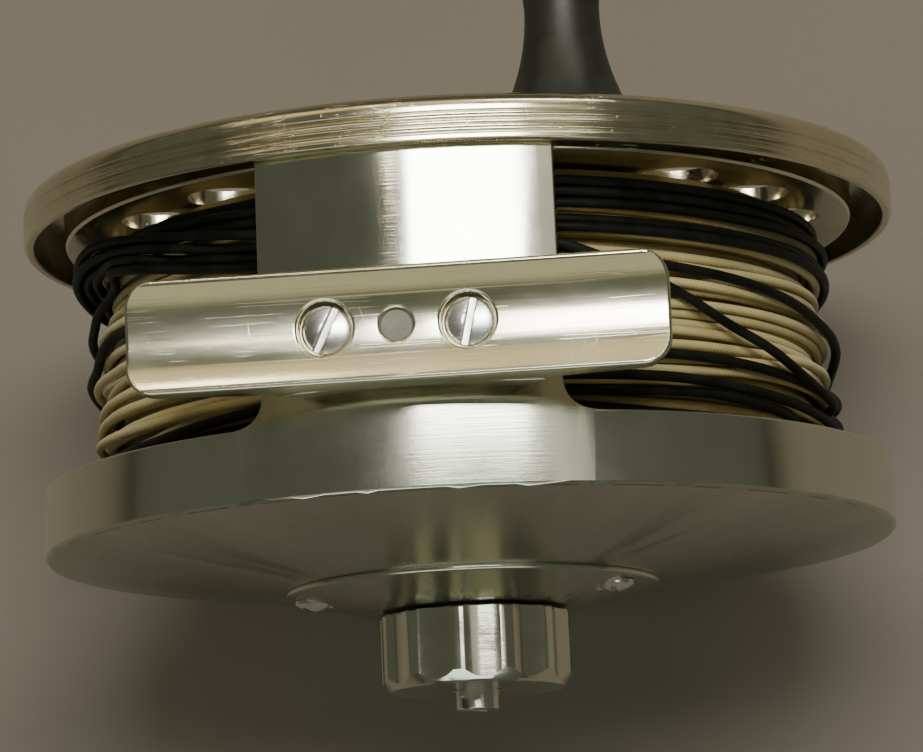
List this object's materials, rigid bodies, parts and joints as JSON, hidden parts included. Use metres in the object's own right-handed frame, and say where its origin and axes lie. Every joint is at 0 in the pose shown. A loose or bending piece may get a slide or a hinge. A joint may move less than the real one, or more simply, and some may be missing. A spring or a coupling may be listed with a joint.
{
  "type": "fly reel",
  "caption": "Large-arbor fly reel with a ported spool, grooved palming rim, draw-bar disc drag with a fluted knob, and a channelled foot.",
  "frame": {"origin": "middle of the foot's seat, on the two lips that touch the rod's reel seat", "axes": "+X along the foot and the rod, +Y along the spindle from the drag knob to the handle, +Z out of the foot's seat towards the rod"},
  "size_m": [0.111, 0.0897, 0.1188],
  "materials": {
    "satin_frame": "bead-dulled satin, silver with a faint green-grey cast",
    "polished_foot": "polished, champagne tint, fine scratches along its length",
    "polished_spool": "polished, pale gold anodised, grooved by turning",
    "polished_knob": "polished flutes",
    "polished_trim": "turned and polished",
    "stainless": "fine turned steel",
    "spring_steel": "oiled steel",
    "bearing_steel": "ground and polished",
    "bronze": "dull turned bronze",
    "dull_dowel": "dull grey-green",
    "cork": "oiled agglomerated cork",
    "black_seal": "matt black",
    "black_grip": "satin black",
    "braid_line": "fine round braid, tan",
    "black_line": "smooth coated line, waxy black"
  },
  "bodies": {
    "frame": {"frame": "satin_frame", "reel_foot": "polished_foot", "foot_screws": "stainless", "foot_dowel": "dull_dowel", "drag_cover": "satin_frame", "cover_screws": "stainless", "main_shaft": "stainless", "shaft_key": "spring_steel", "shaft_bushing": "bronze", "inner_races": "bearing_steel", "bearing_spacer": "stainless", "spool_nut": "polished_trim", "drag_springs": "spring_steel", "knob_stop": "polished_trim", "click_pin": "stainless", "click_spring": "spring_steel"},
    "click_pawl": {"click_pawl": "bronze"},
    "thrust_washer": {"thrust_washer": "bronze"},
    "drag_knob": {"drag_knob": "polished_knob", "knob_insert": "bronze", "knob_detent": "bearing_steel"},
    "drag_gear": {"drag_gear": "stainless", "gear_bushing": "bronze", "cork_disc": "cork"},
    "spool": {"spool": "polished_spool", "outer_races": "bearing_steel", "bearing_balls": "bearing_steel", "bearing_cap": "black_seal", "counterweight": "polished_trim", "counterweight_screw": "stainless", "handle_post": "stainless", "handle_washer": "stainless", "pawl_pins": "stainless", "pawl_springs": "spring_steel", "line_backing": "braid_line", "running_line": "braid_line", "fly_line": "black_line"},
    "pawl_a": {"pawl_a": "spring_steel"},
    "pawl_b": {"pawl_b": "spring_steel"},
    "handle_grip": {"handle_grip": "black_grip"}
  },
  "joints": [
    {"name": "spool_spin", "type": "hinge", "parent": "frame", "child": "spool", "pos_m": [0, 0.0065, -0.0633], "axis": [0, 1, 0], "continuous": true},
    {"name": "drag_gear_spin", "type": "hinge", "parent": "frame", "child": "drag_gear", "pos_m": [0, -0.012, -0.0633], "axis": [0, 1, 0], "continuous": true},
    {"name": "knob_travel", "type": "slide", "parent": "frame", "child": "thrust_washer", "axis": [0, 1, 0], "range_m": [-0.00075, 0.00025]},
    {"name": "knob_turn", "type": "hinge", "parent": "thrust_washer", "child": "drag_knob", "pos_m": [0, -0.03, -0.0633], "axis": [0, 1, 0], "range_deg": [-271, 91]},
    {"name": "handle_spin", "type": "hinge", "parent": "spool", "child": "handle_grip", "pos_m": [0.018, 0.038, -0.02736], "axis": [0, 1, 0], "continuous": true},
    {"name": "click_pawl_swing", "type": "hinge", "parent": "frame", "child": "click_pawl", "pos_m": [-0.00698, -0.014, -0.08247], "axis": [0, 1, 0], "range_deg": [-3, 3], "stiffness_Nm_per_rad": 0.002},
    {"name": "pawl_a_lift", "type": "hinge", "parent": "spool", "child": "pawl_a", "pos_m": [0.02, -0.009, -0.0633], "axis": [0, 1, 0], "range_deg": [0, 14], "stiffness_Nm_per_rad": 0.002},
    {"name": "pawl_b_lift", "type": "hinge", "parent": "spool", "child": "pawl_b", "pos_m": [-0.02, -0.009, -0.0633], "axis": [0, 1, 0], "range_deg": [0, 14], "stiffness_Nm_per_rad": 0.002}
  ],
  "couplings": [
    {"joint": "knob_turn", "follows": "knob_travel", "rad_per_m": 6283.2}
  ]
}
